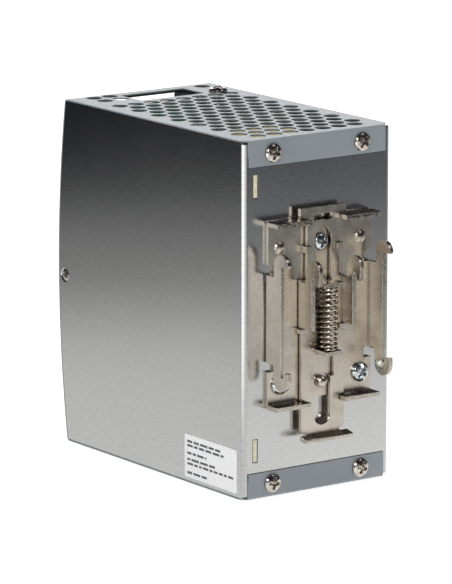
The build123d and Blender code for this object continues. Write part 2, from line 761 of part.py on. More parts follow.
def fuse_tube():
    """Glass tube of the mains fuse."""
    return rod_z(2.3, *FUSE_PLACE, 64 + FUSE_CAP_L, 84 - FUSE_CAP_L)


def fuse_caps():
    """Metal caps and legs of the mains fuse."""
    x, d = FUSE_PLACE
    caps = []
    for z0, z1 in ((64, 64 + FUSE_CAP_L), (84 - FUSE_CAP_L, 84)):
        leg = block(x, BOARD_FACE_X, d - 0.6, d + 0.6, z0 + 1, z1 - 1)
        caps.append(rod_z(2.6, x, d, z0, z1) + leg)
    return caps


def rectifier_bridge():
    """Flat rectifier clamped against the primary heatsink."""
    return block(-8, 14, -76, -58, PRIMARY_SINK_Z - 4.5, PRIMARY_SINK_Z)


def power_switches():
    """Two packaged transistors clamped against the secondary heatsink."""
    top = SECONDARY_SINK_Z
    return [block(x, x + 10, -74, -58, top - 4.6, top) for x in (-8, 8)]


def control_card():
    """Small upright card with the regulator."""
    return block(0, BOARD_FACE_X, -50.6, -49, 62, 90)


def control_chip():
    """Regulator in a small black package on the control card."""
    return block(8, 18, -52.2, -50.6, 70, 76)


def save_terminals(name, count, pitch, turn):
    """Writes one terminal block with its clamps and screws, turned to its end of the case."""
    save(f"{name}_terminal_block", turn(terminal_block(count, pitch)))
    save(f"{name}_terminal_clamps", *[turn(s) for s in terminal_clamps(count, pitch)])
    save(f"{name}_terminal_screws", *[turn(s) for s in terminal_screws(count, pitch)])


def save_chokes():
    """Writes the ring chokes of the power factor stage and of the mains filter."""
    for name, outer_r, d, z in (("boost_choke", 12.0, -50.5, 20), ("filter_choke", 8.5, -77.5, 18)):
        save(f"{name}_core", choke_core(outer_r, d, z))
        save(f"{name}_winding", choke_winding(outer_r, d, z))


def main():
    os.makedirs("parts", exist_ok=True)
    save("chassis_shell", chassis_shell())
    save("front_cover", front_cover())
    save("flange_screws", *flange_screws())
    save("side_screws", *side_screws())
    save("top_screw", top_screw())
    save("rating_label", rating_label())
    save("din_base_plate", din_base_plate())
    save("guide_stud", guide_stud())
    save("bracket_screws", *bracket_screws())
    save("latch_slider", latch_slider())
    save("latch_spring", latch_spring())
    save("main_board", main_board())
    save("board_standoffs", *board_standoffs())
    save("insulation_sheet", insulation_sheet())
    save("output_board", output_board())
    save("input_board", input_board())
    save("output_bracket", output_bracket())
    save_terminals("output", 4, 6.6, lambda shape: shape)
    save_terminals("input", 3, 8.8, upside_down)
    save("trimmer_body", trimmer_body())
    save("trimmer_rotor", trimmer_rotor())
    save("status_lamp", status_lamp())
    save("primary_heatsink", heatsink(PRIMARY_SINK_Z))
    save("secondary_heatsink", heatsink(SECONDARY_SINK_Z))
    save("transformer_core", transformer_core())
    save("transformer_winding", transformer_winding())
    save("transformer_tape", transformer_tape())
    save("transformer_base", transformer_base())
    save_chokes()
    save("bulk_capacitors", *bulk_capacitors())
    save("output_capacitors", *output_capacitors())
    save("film_capacitor", film_capacitor())
    save("fuse_tube", fuse_tube())
    save("fuse_caps", *fuse_caps())
    save("rectifier_bridge", rectifier_bridge())
    save("power_switches", *power_switches())
    save("control_card", control_card())
    save("control_chip", control_chip())


main()
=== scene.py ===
"""Visual model of a rail-mounted power supply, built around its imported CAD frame. Units are metres."""

import json
import math
import random

import bmesh
import bpy
from mathutils import Matrix, Vector


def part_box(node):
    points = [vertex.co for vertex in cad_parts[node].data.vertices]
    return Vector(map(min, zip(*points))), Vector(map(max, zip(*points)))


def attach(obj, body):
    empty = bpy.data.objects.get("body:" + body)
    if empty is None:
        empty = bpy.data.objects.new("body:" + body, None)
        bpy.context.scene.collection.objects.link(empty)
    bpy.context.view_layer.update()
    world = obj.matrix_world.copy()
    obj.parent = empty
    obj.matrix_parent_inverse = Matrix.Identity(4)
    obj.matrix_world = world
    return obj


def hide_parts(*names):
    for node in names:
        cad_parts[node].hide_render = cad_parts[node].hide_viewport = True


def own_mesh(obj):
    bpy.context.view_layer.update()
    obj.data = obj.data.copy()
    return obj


MM = 0.001
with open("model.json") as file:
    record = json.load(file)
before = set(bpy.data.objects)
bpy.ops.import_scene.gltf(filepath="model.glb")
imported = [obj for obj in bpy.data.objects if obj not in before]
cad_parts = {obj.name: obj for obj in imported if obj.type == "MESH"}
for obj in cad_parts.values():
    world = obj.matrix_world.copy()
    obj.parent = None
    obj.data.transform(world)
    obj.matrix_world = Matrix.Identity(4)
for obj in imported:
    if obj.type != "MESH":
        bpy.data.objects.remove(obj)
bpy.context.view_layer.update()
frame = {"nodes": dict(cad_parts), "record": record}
nodes = frame["nodes"]


# ---------------------------------------------------------------- camera

CAMERA_AZIMUTH = math.radians(144.3345)
CAMERA_ELEVATION = math.radians(11.894)
CAMERA_DISTANCE = 1.5896
CAMERA_LENS = 276.8
CAMERA_AIM = Vector((0.00006, -0.00398, 0.06038))
CAMERA_SENSOR = 36.0
CAMERA_CLIP_END = 50.0


def add_camera():
    """Long lens from behind and a little above, at the height of the case."""
    level = math.cos(CAMERA_ELEVATION)
    back = Vector((
        math.sin(CAMERA_AZIMUTH) * level,
        -math.cos(CAMERA_AZIMUTH) * level,
        math.sin(CAMERA_ELEVATION),
    ))
    data = bpy.data.cameras.new("camera")
    data.lens = CAMERA_LENS
    data.sensor_width = CAMERA_SENSOR
    data.clip_end = CAMERA_CLIP_END
    camera = bpy.data.objects.new("camera", data)
    camera.location = CAMERA_AIM + back * CAMERA_DISTANCE
    camera.rotation_euler = back.to_track_quat("Z", "Y").to_euler()
    bpy.context.scene.collection.objects.link(camera)
    bpy.context.scene.camera = camera


# ---------------------------------------------------------------- materials

NOISE_LOW, NOISE_HIGH = 0.3, 0.7  # nearly all of a noise texture lies between these
EDGE_MASK_LOW, EDGE_MASK_HIGH = 0.02, 0.25  # how far true and softened normals part where the edge mask starts and is full
BEVEL_SAMPLES = 4
CORNER_SAMPLES = 6


class Finish:
    """A material's node tree, with short calls for what the finishes share."""

    def __init__(self, name):
        self.material = bpy.data.materials.new(name)
        self.material.use_nodes = True
        self.tree = self.material.node_tree
        self.tree.nodes.clear()
        self.output = self.node("ShaderNodeOutputMaterial")
        self.surface = self.node("ShaderNodeBsdfPrincipled")
        self.tree.links.new(self.surface.outputs["BSDF"], self.output.inputs["Surface"])
        self.place = self.node("ShaderNodeTexCoord").outputs["Object"]
        self.normal = None

    def node(self, kind, **settings):
        made = self.tree.nodes.new(kind)
        for key, value in settings.items():
            setattr(made, key, value)
        return made

    def feed(self, socket, value):
        """Links an output to an input, or sets the input to a plain value."""
        if isinstance(value, bpy.types.NodeSocket):
            self.tree.links.new(value, socket)
        else:
            socket.default_value = value

    def set(self, **values):
        """Sets or links the surface's inputs, with underscores for spaces."""
        for key, value in values.items():
            self.feed(self.surface.inputs[key.replace("_", " ")], value)
        return self

    def math(self, operation, a, b=0.0, c=0.0, clamp=False):
        made = self.node("ShaderNodeMath", operation=operation, use_clamp=clamp)
        for socket, value in zip(made.inputs, (a, b, c)):
            self.feed(socket, value)
        return made.outputs[0]

    def times(self, first, *rest):
        """Product of two or more values."""
        for value in rest:
            first = self.math("MULTIPLY", first, value)
        return first

    def shares(self, a, b, share):
        """Weighted mean of two values, with a share of the first."""
        return self.math("ADD", self.times(a, share), self.times(b, 1 - share))

    def scaled(self, scale):
        """Object coordinates multiplied along each axis."""
        made = self.node("ShaderNodeVectorMath", operation="MULTIPLY")
        self.feed(made.inputs[0], self.place)
        made.inputs[1].default_value = scale
        return made.outputs[0]

    def noise(self, vector, detail=3.0, rough=0.5):
        """Noise from 0 to 1 with one cell per unit of the vector."""
        made = self.node("ShaderNodeTexNoise")
        self.feed(made.inputs["Vector"], vector)
        made.inputs["Scale"].default_value = 1.0
        made.inputs["Detail"].default_value = detail
        made.inputs["Roughness"].default_value = rough
        return made.outputs["Fac"]

    def remap(self, value, low, high, to_low, to_high):
        """Moves a value from one range to another, and holds it within the second."""
        made = self.node("ShaderNodeMapRange")
        for key, number in zip(("From Min", "From Max", "To Min", "To Max"), (low, high, to_low, to_high)):
            self.feed(made.inputs[key], number)
        self.feed(made.inputs["Value"], value)
        return made.outputs["Result"]

    def rise(self, value, low, high, top=1.0):
        """0 up to low, rising to top at high."""
        return self.remap(value, low, high, 0.0, top)

    def fall(self, value, low, high, top=1.0):
        """top up to low, falling to 0 at high."""
        return self.remap(value, low, high, top, 0.0)

    def spread(self, noise, to_low, to_high):
        """Stretches a noise over a range."""
        return self.remap(noise, NOISE_LOW, NOISE_HIGH, to_low, to_high)

    def mix(self, factor, a, b):
        """Mix of two colours."""
        made = self.node("ShaderNodeMix", data_type="RGBA")
        self.feed(made.inputs[0], factor)
        for socket, value in zip((made.inputs[6], made.inputs[7]), (a, b)):
            self.feed(socket, (*value, 1.0) if isinstance(value, tuple) and len(value) == 3 else value)
        return made.outputs[2]

    def ramp(self, value, stops):
        """Grey level that follows the value through (position, level) stops."""
        made = self.node("ShaderNodeValToRGB")
        elements = made.color_ramp.elements
        while len(elements) < len(stops):
            elements.new(0.5)
        for element, (position, level) in zip(elements, stops):
            element.position = position
            element.color = (level, level, level, 1)
        self.feed(made.inputs[0], value)
        return made.outputs["Color"]

    def facing(self, axis):
        """How much the surface faces along X, Y or Z, either way, 0 to 1."""
        geometry = self.node("ShaderNodeNewGeometry")
        apart = self.node("ShaderNodeSeparateXYZ")
        self.feed(apart.inputs[0], geometry.outputs["Normal"])
        return self.math("ABSOLUTE", apart.outputs[axis])

    def along(self, axis):
        """Object coordinate along X, Y or Z, in metres."""
        apart = self.node("ShaderNodeSeparateXYZ")
        self.feed(apart.inputs[0], self.place)
        return apart.outputs[axis]

    def distance(self):
        """Distance from the origin, in metres."""
        made = self.node("ShaderNodeVectorMath", operation="LENGTH")
        self.feed(made.inputs[0], self.place)
        return made.outputs["Value"]

    def corners(self, reach):
        """1 in the open, falling to 0 in corners and behind close neighbours."""
        made = self.node("ShaderNodeAmbientOcclusion", samples=CORNER_SAMPLES)
        made.inputs["Distance"].default_value = reach
        return made.outputs["AO"]

    def bevel(self, radius):
        """Softens the shading of sharp edges by a small radius."""
        made = self.node("ShaderNodeBevel", samples=BEVEL_SAMPLES)
        made.inputs["Radius"].default_value = radius
        self.normal = made.outputs["Normal"]
        self.feed(self.surface.inputs["Normal"], self.normal)
        return self

    def bump(self, height, strength, distance):
        """Raises the surface's shading by a height texture, on top of its bevel."""
        made = self.node("ShaderNodeBump")
        made.inputs["Strength"].default_value = strength
        made.inputs["Distance"].default_value = distance
        self.feed(made.inputs["Height"], height)
        if self.normal is not None:
            self.feed(made.inputs["Normal"], self.normal)
        self.normal = made.outputs["Normal"]
        self.feed(self.surface.inputs["Normal"], self.normal)
        return self

    def sharp_edge_mask(self, radius):
        """0 on flat faces and 1 on sharp edges, from the gap between true and softened normals."""
        geometry = self.node("ShaderNodeNewGeometry")
        soft = self.node("ShaderNodeBevel", samples=BEVEL_SAMPLES)
        soft.inputs["Radius"].default_value = radius
        dot = self.node("ShaderNodeVectorMath", operation="DOT_PRODUCT")
        self.feed(dot.inputs[0], geometry.outputs["Normal"])
        self.feed(dot.inputs[1], soft.outputs["Normal"])
        return self.rise(self.math("SUBTRACT", 1.0, dot.outputs["Value"]), EDGE_MASK_LOW, EDGE_MASK_HIGH)


# ---------------------------------------------------------------- finishes
# Noise scales are in cells per metre. Colours are linear light.

EDGE_LIGHTENING = 0.4  # how far edges turn to the lighter colour: painted highlight on the paint, wear on the plastic

STEEL_DARK, STEEL_LIGHT = (0.535, 0.54, 0.545), (0.66, 0.66, 0.65)
FINE_GRAIN_SHARE = 0.85


def brushed_case():
    """Bare steel with a very fine horizontal brushing, nearly a mirror from side to side."""
    f = Finish("brushed_case_grain")
    fine = f.noise(f.scaled((420, 420, 4200)), detail=2.0)
    broad = f.noise(f.scaled((9, 9, 2600)), detail=2.0)
    patch = f.noise(f.scaled((22, 22, 22)), detail=2.0)
    grain = f.shares(fine, broad, FINE_GRAIN_SHARE)
    f.set(Base_Color=f.mix(f.spread(grain, 0.0, 1.0), STEEL_DARK, STEEL_LIGHT), Metallic=1.0)
    f.set(Roughness=f.math("ADD", f.spread(grain, 0.18, 0.21), f.spread(patch, -0.01, 0.01)))
    f.set(Anisotropic=0.42)
    upright = f.node("ShaderNodeCombineXYZ")
    upright.inputs[2].default_value = 1.0
    f.set(Tangent=upright.outputs[0])
    f.bevel(0.12 * MM)
    f.bump(grain, 0.01, 0.01 * MM)
    return f.material


PAINT_DARK, PAINT_LIGHT = (0.235, 0.262, 0.283), (0.262, 0.29, 0.31)
# The worn colour is a painted highlight on folds and edges; the sheared colour is bare cut metal, darkened
# further as a painted shadow line.
PAINT_EDGE_HIGHLIGHT, PAINT_CUT_EDGE_AND_SHADOW = (0.52, 0.55, 0.57), (0.02, 0.022, 0.024)
FLANGE_EDGE_Y = 0.0499  # the cover's sheared edges on the back lie further out than this
SHEARED_LOW_Z, SHEARED_HIGH_Z = 6 * MM, 120 * MM  # and between these heights


def cover_paint():
    """Satin grey powder coat with a fine orange peel, a painted highlight on its folds and edges, and its
    sheared edges near black, partly bare cut metal and partly a painted shadow line.
    """
    f = Finish("cover_paint_coat")
    peel = f.noise(f.scaled((1100, 1100, 1100)), detail=3.0)
    cloud = f.noise(f.scaled((45, 45, 45)), detail=3.0)
    base = f.mix(f.spread(cloud, 0.0, 1.0), PAINT_DARK, PAINT_LIGHT)
    # Painted highlight: the folds and edges go lighter.
    lighter_edges = f.mix(f.times(f.sharp_edge_mask(0.3 * MM), EDGE_LIGHTENING), base, PAINT_EDGE_HIGHLIGHT)
    # The sheared flange edges go near black: partly bare cut metal, partly a painted shadow line along the
    # flange.
    far_out = f.rise(f.along(1), FLANGE_EDGE_Y, FLANGE_EDGE_Y + 0.1 * MM)
    above = f.rise(f.along(2), SHEARED_LOW_Z, SHEARED_LOW_Z + 1 * MM)
    below = f.fall(f.along(2), SHEARED_HIGH_Z - 1 * MM, SHEARED_HIGH_Z)
    sheared = f.times(f.fall(f.facing(1), 0.3, 0.6), far_out, above, below)
    f.set(Base_Color=f.mix(sheared, lighter_edges, PAINT_CUT_EDGE_AND_SHADOW), Metallic=0.0, Roughness=f.spread(peel, 0.34, 0.46))
    f.set(Specular_IOR_Level=0.5)
    f.bevel(0.25 * MM)
    f.bump(peel, 0.14, 0.05 * MM)
    return f.material


NICKEL_DARK, NICKEL_LIGHT = (0.58, 0.53, 0.46), (0.72, 0.665, 0.59)
# The stain colour also stands in for the plate's blurred brown reflections, a painted reflection.
NICKEL_STAIN_AND_REFLECTION, NICKEL_SPECK = (0.40, 0.33, 0.26), (0.22, 0.17, 0.12)
# Painted shade: the first colour darkens corners and spots behind close parts, the second darkens the lips'
# tops and undersides.
NICKEL_CORNER_SHADE, NICKEL_SHELF_SHADE = (0.10, 0.075, 0.05), (0.15, 0.11, 0.08)
# The shaded colour is the spring's painted shadow on the plate behind it.
NICKEL_SHADED, NICKEL_TORN = (0.06, 0.045, 0.03), (0.035, 0.027, 0.02)
# Painted highlight colour for the bracket's rounded edges.
NICKEL_EDGE_HIGHLIGHT = (0.96, 0.93, 0.87)
MOTTLE_SHARE = 0.8
CUT_EDGE_Y = 0.0563  # bracket faces that look straight out, further out than this, are sheared edges
SHELF_START_Y = 0.0515  # the lips' tops and undersides get painted shade further out than this
BRACKET_MIDDLE_Z = 0.064
UPPER_LIPS_Z = 0.088


def cut_edges(f):
    """Sheared edges that look straight out, strongest on the upper lips."""
    far_out = f.rise(f.along(1), CUT_EDGE_Y, CUT_EDGE_Y + 0.2 * MM)
    height = f.remap(f.along(2), BRACKET_MIDDLE_Z, UPPER_LIPS_Z, 0.35, 1.0)
    return f.times(far_out, f.rise(f.facing(1), 0.75, 0.9), height)


def shaded_shelves(f):
    """Tops and undersides of the lips, for painted shade, weaker on the upper ones."""
    far_out = f.rise(f.along(1), SHELF_START_Y, SHELF_START_Y + 1.0 * MM)
    height = f.remap(f.along(2), BRACKET_MIDDLE_Z, UPPER_LIPS_Z, 1.0, 0.6)
    return f.times(f.rise(f.facing(2), 0.6, 0.9, 0.75), far_out, height)


def shadow_behind_spring(f):
    """Strip of plate behind the spring, for the spring's painted shadow."""
    low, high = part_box("latch_spring")
    beside = f.math("ABSOLUTE", f.math("SUBTRACT", f.along(0), (low.x + high.x) / 2))
    reach = (high.x - low.x) / 2
    across = f.fall(beside, reach * 0.8, reach * 1.15, 0.8)
    above = f.rise(f.along(2), low.z, low.z + 2 * MM)
    below = f.fall(f.along(2), high.z - 2 * MM, high.z)
    return f.times(across, above, below, f.fall(f.along(1), low.y, low.y + 1.0 * MM))


def nickel_plate():
    """Warm nickel over rolled steel, with brown stains that also serve as painted reflection, a painted
    highlight on its edges, painted shade in its corners, on the lips' tops and undersides and behind the
    spring, and torn sheared edges.
    """
    f = Finish("nickel_plate_rolled")
    mottle = f.noise(f.scaled((170, 170, 170)), detail=4.0, rough=0.6)
    rolled = f.noise(f.scaled((2600, 2600, 160)), detail=2.0)
    speck = f.noise(f.scaled((1300, 1300, 1300)), detail=2.0)
    stain_and_reflection = f.noise(f.scaled((60, 60, 95)), detail=5.0, rough=0.65)
    tear = f.noise(f.scaled((1100, 1100, 2300)), detail=3.0, rough=0.65)
    tone = f.shares(mottle, rolled, MOTTLE_SHARE)
    cut = cut_edges(f)
    base = f.mix(f.rise(tone, 0.35, 0.65), NICKEL_DARK, NICKEL_LIGHT)
    # Brown patches: stains, and also painted reflection.
    base = f.mix(f.rise(stain_and_reflection, 0.52, 0.72, 0.55), base, NICKEL_STAIN_AND_REFLECTION)
    base = f.mix(f.rise(speck, 0.66, 0.72, 0.45), base, NICKEL_SPECK)
    # Painted shade in corners and behind close parts, from ambient occlusion.
    base = f.mix(f.fall(f.corners(1.6 * MM), 0.35, 0.85, 0.75), base, NICKEL_CORNER_SHADE)
    # Painted shade on the lips' tops and undersides.
    base = f.mix(shaded_shelves(f), base, NICKEL_SHELF_SHADE)
    # Painted shadow of the spring on the plate behind it.
    base = f.mix(shadow_behind_spring(f), base, NICKEL_SHADED)
    torn = f.mix(f.times(f.rise(tear, 0.44, 0.56, 0.95), cut), base, NICKEL_TORN)
    # Painted highlight on sharp edges.
    shiny = f.mix(f.times(f.sharp_edge_mask(0.2 * MM), 0.7), torn, NICKEL_EDGE_HIGHLIGHT)
    f.set(Base_Color=shiny, Metallic=1.0)
    f.set(Roughness=f.math("ADD", f.remap(tone, 0.35, 0.65, 0.22, 0.32), f.times(cut, 0.1)))
    f.bevel(0.24 * MM)
    f.bump(f.math("ADD", tone, f.times(tear, cut, 4.0)), 0.16, 0.05 * MM)
    return f.material


CORNER_SHADE_LEVEL = 0.06  # colour of the painted shade in a plated part's corners, as a share of its dark tone


def bright_metal(name, dark, light, rough):
    """Plated small metal part with soft mottling and painted shade in its corners."""
    f = Finish(name)
    mottle = f.noise(f.scaled((900, 900, 900)), detail=3.0)
    base = f.mix(f.spread(mottle, 0.0, 1.0), dark, light)
    corner_shade = tuple(c * CORNER_SHADE_LEVEL for c in dark)
    # Painted shade: darker where ambient occlusion finds corners and close neighbours.
    f.set(Base_Color=f.mix(f.fall(f.corners(0.9 * MM), 0.4, 0.9, 0.9), base, corner_shade), Metallic=1.0)
    f.set(Roughness=f.spread(mottle, rough * 0.75, rough * 1.3))
    f.bevel(0.12 * MM)
    f.bump(mottle, 0.08, 0.03 * MM)
    return f.material


WORN_LIFT = 0.12  # how much lighter than its colour a plastic part's worn edges are


def moulded(name, colour, rough):
    """Moulded plastic with a fine spark-eroded texture and slightly lighter edges."""
    f = Finish(name)
    grain = f.noise(f.scaled((2200, 2200, 2200)), detail=2.0)
    cloud = f.noise(f.scaled((120, 120, 120)), detail=3.0)
    light = tuple(c + (1 - c) * WORN_LIFT for c in colour)
    base = f.mix(f.spread(cloud, 0.0, 0.35), colour, light)
    lighter_edges = f.mix(f.times(f.sharp_edge_mask(0.25 * MM), EDGE_LIGHTENING), base, light)
    f.set(Base_Color=lighter_edges, Roughness=f.spread(grain, rough * 0.8, min(rough * 1.2, 1.0)))
    f.bevel(0.15 * MM)
    f.bump(grain, 0.12, 0.05 * MM)
    return f.material


MASK_GREEN, TRACK_GREEN = (0.02, 0.16, 0.06), (0.04, 0.28, 0.11)
LAMINATE_DARK, LAMINATE_LIGHT = (0.60, 0.54, 0.36), (0.78, 0.72, 0.54)


def board_mask(axis):
    """Green solder mask with lighter tracks on the faces along one axis, bare laminate on the cut edges."""
    f = Finish(f"board_green_mask_{axis}")
    tracks = f.node("ShaderNodeTexVoronoi", feature="DISTANCE_TO_EDGE", distance="MANHATTAN")
    f.feed(tracks.inputs["Vector"], f.scaled((230, 230, 230)))
    tracks.inputs["Scale"].default_value = 1.0
    mask = f.mix(f.fall(tracks.outputs["Distance"], 0.05, 0.09), MASK_GREEN, TRACK_GREEN)
    fibre = f.noise(f.scaled((900, 900, 900)), detail=2.0)
    laminate = f.mix(f.spread(fibre, 0.0, 1.0), LAMINATE_DARK, LAMINATE_LIGHT)
    on_face = f.math("GREATER_THAN", f.facing("xyz".index(axis)), 0.5)
    f.set(Base_Color=f.mix(on_face, laminate, mask), Roughness=f.spread(fibre, 0.3, 0.42))
    return f.material


def label_film():
    """White satin film with a faint fibre."""
    f = Finish("label_film_white")
    fibre = f.noise(f.scaled((700, 700, 700)), detail=3.0)
    f.set(Base_Color=f.mix(f.spread(fibre, 0.0, 1.0), (0.90, 0.90, 0.90), (0.95, 0.95, 0.95)))
    f.set(Roughness=0.38)
    f.bump(fibre, 0.05, 0.02 * MM)
    return f.material


def label_ink():
    """Dark print, slightly uneven."""
    f = Finish("label_ink_grey")
    wear = f.noise(f.scaled((2600, 2600, 2600)), detail=2.0)
    f.set(Base_Color=f.mix(f.rise(wear, 0.35, 0.7), (0.06, 0.06, 0.065), (0.22, 0.22, 0.22)))
    f.set(Roughness=0.5)
    return f.material


CLEAR_LIFT = 1.15  # how much brighter than its colour a clear part gets in places


def tinted_clear(name, colour, glow):
    """Clear tinted plastic or glass with a little surface unevenness."""
    f = Finish(name)
    swirl = f.noise(f.scaled((300, 300, 300)), detail=2.0)
    f.set(Base_Color=f.mix(swirl, colour, tuple(min(c * CLEAR_LIFT, 1.0) for c in colour)))
    f.set(Roughness=f.spread(swirl, 0.06, 0.14), Transmission_Weight=0.8, IOR=1.47)
    if glow:
        f.set(Emission_Color=(*colour, 1.0), Emission_Strength=glow)
    return f.material


# The dark colour is painted shade in the grooves between turns.
WIRE_GROOVE_SHADE, WIRE_LIGHT = (0.22, 0.07, 0.02), (0.62, 0.27, 0.10)


def wound_copper():
    """Enamelled wire laid in close turns, with painted shade in the grooves between them."""
    f = Finish("wound_copper_turns")
    turns = f.node("ShaderNodeTexWave", bands_direction="X", wave_profile="SIN")
    f.feed(turns.inputs["Vector"], f.place)
    turns.inputs["Scale"].default_value = 700.0
    turns.inputs["Distortion"].default_value = 0.6
    height = turns.outputs["Fac"]
    # Painted shade: darker where the wave dips between turns.
    f.set(Base_Color=f.mix(height, WIRE_GROOVE_SHADE, WIRE_LIGHT), Metallic=0.55)
    f.set(Roughness=f.remap(height, 0.0, 1.0, 0.45, 0.25))
    f.bump(height, 0.6, 0.25 * MM)
    return f.material


def extruded_aluminium():
    """Bare extrusion with fine lines along the board."""
    f = Finish("extruded_aluminium_lines")
    lines = f.noise(f.scaled((3000, 60, 3000)), detail=2.0)
    f.set(Base_Color=f.mix(lines, (0.60, 0.61, 0.62), (0.76, 0.77, 0.78)), Metallic=1.0)
    f.set(Roughness=f.spread(lines, 0.28, 0.42))
    f.bevel(0.2 * MM)
    f.bump(lines, 0.1, 0.03 * MM)
    return f.material


SLEEVE_DARK, SLEEVE_LIGHT, CAN_END = (0.012, 0.014, 0.03), (0.03, 0.035, 0.06), (0.70, 0.71, 0.72)


def can_sleeve():
    """Dark shrink sleeve, bare aluminium on the can's end."""
    f = Finish("can_sleeve_shrunk")
    cloud = f.noise(f.scaled((150, 150, 150)), detail=3.0)
    end = f.math("GREATER_THAN", f.facing(0), 0.9)
    f.set(Base_Color=f.mix(end, f.mix(cloud, SLEEVE_DARK, SLEEVE_LIGHT), CAN_END), Metallic=end)
    f.set(Roughness=f.spread(cloud, 0.25, 0.4))
    f.bump(cloud, 0.1, 0.1 * MM)
    return f.material


FINISHES = {
    "brushed_case": brushed_case(),
    "cover_paint": cover_paint(),
    "nickel_plate": nickel_plate(),
    "spring_wire": bright_metal("spring_wire_drawn", (0.50, 0.45, 0.38), (0.72, 0.67, 0.59), 0.13),
    "nickel_screw": bright_metal("nickel_screw_head", (0.52, 0.47, 0.42), (0.76, 0.70, 0.64), 0.13),
    "zinc_screw": bright_metal("zinc_screw_head", (0.58, 0.62, 0.65), (0.80, 0.84, 0.86), 0.15),
    "label_film": label_film(),
    "board_green": board_mask("y"),
    "insulator_film": moulded("insulator_film_sheet", (0.80, 0.78, 0.70), 0.4),
    "board_post": bright_metal("board_post_turned", (0.52, 0.38, 0.16), (0.66, 0.50, 0.24), 0.25),
    "inner_steel": bright_metal("inner_steel_plated", (0.50, 0.50, 0.50), (0.64, 0.64, 0.64), 0.3),
    "terminal_plastic": moulded("terminal_plastic_black", (0.02, 0.02, 0.022), 0.45),
    "terminal_metal": bright_metal("terminal_metal_tinned", (0.56, 0.55, 0.52), (0.72, 0.71, 0.68), 0.28),
    "trimmer_blue": moulded("trimmer_blue_body", (0.03, 0.10, 0.34), 0.3),
    "trimmer_white": moulded("trimmer_white_shaft", (0.74, 0.73, 0.68), 0.4),
    "lamp_clear": tinted_clear("lamp_clear_green", (0.25, 0.85, 0.30), 0.35),
    "sink_aluminium": extruded_aluminium(),
    "ferrite": moulded("ferrite_sintered", (0.035, 0.035, 0.04), 0.6),
    "copper_winding": wound_copper(),
    "winding_tape": moulded("winding_tape_yellow", (0.60, 0.49, 0.13), 0.35),
    "bobbin_plastic": moulded("bobbin_plastic_black", (0.03, 0.028, 0.028), 0.5),
    "ring_core": moulded("ring_core_coated", (0.07, 0.20, 0.17), 0.4),
    "can_sleeve": can_sleeve(),
    "film_box": moulded("film_box_grey", (0.42, 0.42, 0.40), 0.45),
    "fuse_glass": tinted_clear("fuse_glass_clear", (0.85, 0.90, 0.88), 0.0),
    "package_black": moulded("package_black_epoxy", (0.025, 0.025, 0.025), 0.5),
}
LABEL_INK = label_ink()

WELD_DISTANCE = 0.0001 * MM
SHARP_FROM = math.radians(38)  # edges that turn more than this get the bevel
SHEET_BEVELS = {  # node: width of its real edge bevels
    "din_base_plate": 0.16 * MM,
    "latch_slider": 0.16 * MM,
    "guide_stud": 0.10 * MM,
    "output_bracket": 0.15 * MM,
}


def dress_cad_nodes():
    """Gives each CAD node its finish, and real bevels to the sheet-metal ones."""
    slots = {row["node"]: row["material_slot"] for row in frame["record"]["subparts"]}
    sideways = board_mask("x")
    for name, obj in nodes.items():
        for place in obj.material_slots:
            place.material = sideways if name == "main_board" else FINISHES[slots[name]]
        if name in SHEET_BEVELS:
            soften(obj, SHEET_BEVELS[name])


def soften(obj, width):
    """Real small bevels on a sheet part's sharp edges."""
    weld = obj.modifiers.new("weld", "WELD")
    weld.merge_threshold = WELD_DISTANCE
    bevel = obj.modifiers.new("bevel", "BEVEL")
    bevel.width = width
    bevel.segments = 2
    bevel.limit_method = "ANGLE"
    bevel.angle_limit = SHARP_FROM


# ---------------------------------------------------------------- mesh helpers


def finish_piece(name, shape, slot, body="root"):
    """Links a new mesh as a piece of the object, on its body and with its slot's finish."""
    mesh = bpy.data.meshes.new(name)
    shape.to_mesh(mesh)
    shape.free()
    mesh.materials.append(FINISHES[slot])
    obj = bpy.data.objects.new(name, mesh)
    bpy.context.scene.collection.objects.link(obj)
    for face in mesh.polygons:
        face.use_smooth = True
    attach(obj, body)
    return obj


def smooth_by_angle(obj, degrees=35):
    """Marks the edges sharper than an angle, so that the rest shades smoothly."""
    mesh = bmesh.new()
    mesh.from_mesh(obj.data)
    limit = math.radians(degrees)
    for edge in mesh.edges:
        edge.smooth = len(edge.link_faces) == 2 and edge.calc_face_angle(0.0) < limit
    mesh.to_mesh(obj.data)
    mesh.free()


# ---------------------------------------------------------------- stage and lights

BACKDROP_RADIUS = 7.0  # the other views' cameras see no further than about 9 m
FLOOR_HALF, FLOOR_Z = 6.0, -0.3 * MM
FLOOR_GLOW_NEAR, FLOOR_GLOW_FAR = 0.66, 1.0  # the floor's own light by the object and far off
GLOW_RISES_FROM, GLOW_RISES_TO = 0.9, 2.4  # metres from the object
TABLE_HALF, TABLE_Z = 3.0, -1.5 * MM


def white_glow(name, strength):
    """Material that only gives off white light."""
    material = bpy.data.materials.new(name)
    material.use_nodes = True
    tree = material.node_tree
    tree.nodes.clear()
    glow = tree.nodes.new("ShaderNodeEmission")
    glow.inputs["Color"].default_value = (1, 1, 1, 1)
    glow.inputs["Strength"].default_value = strength
    output = tree.nodes.new("ShaderNodeOutputMaterial")
    tree.links.new(glow.outputs[0], output.inputs["Surface"])
    return material


def stage_piece(name, mesh, material, camera=True, diffuse=False, glossy=False, shadow=False):
    """A floor, backdrop or card, seen only by the rays it is meant for."""
    made = bpy.data.meshes.new(name)
    mesh.to_mesh(made)
    mesh.free()
    made.materials.append(material)
    obj = bpy.data.objects.new(name, made)
    bpy.context.scene.collection.objects.link(obj)
    obj.visible_camera = camera
    obj.visible_diffuse = diffuse
    obj.visible_glossy = glossy
    obj.visible_transmission = glossy
    obj.visible_shadow = shadow
    return obj


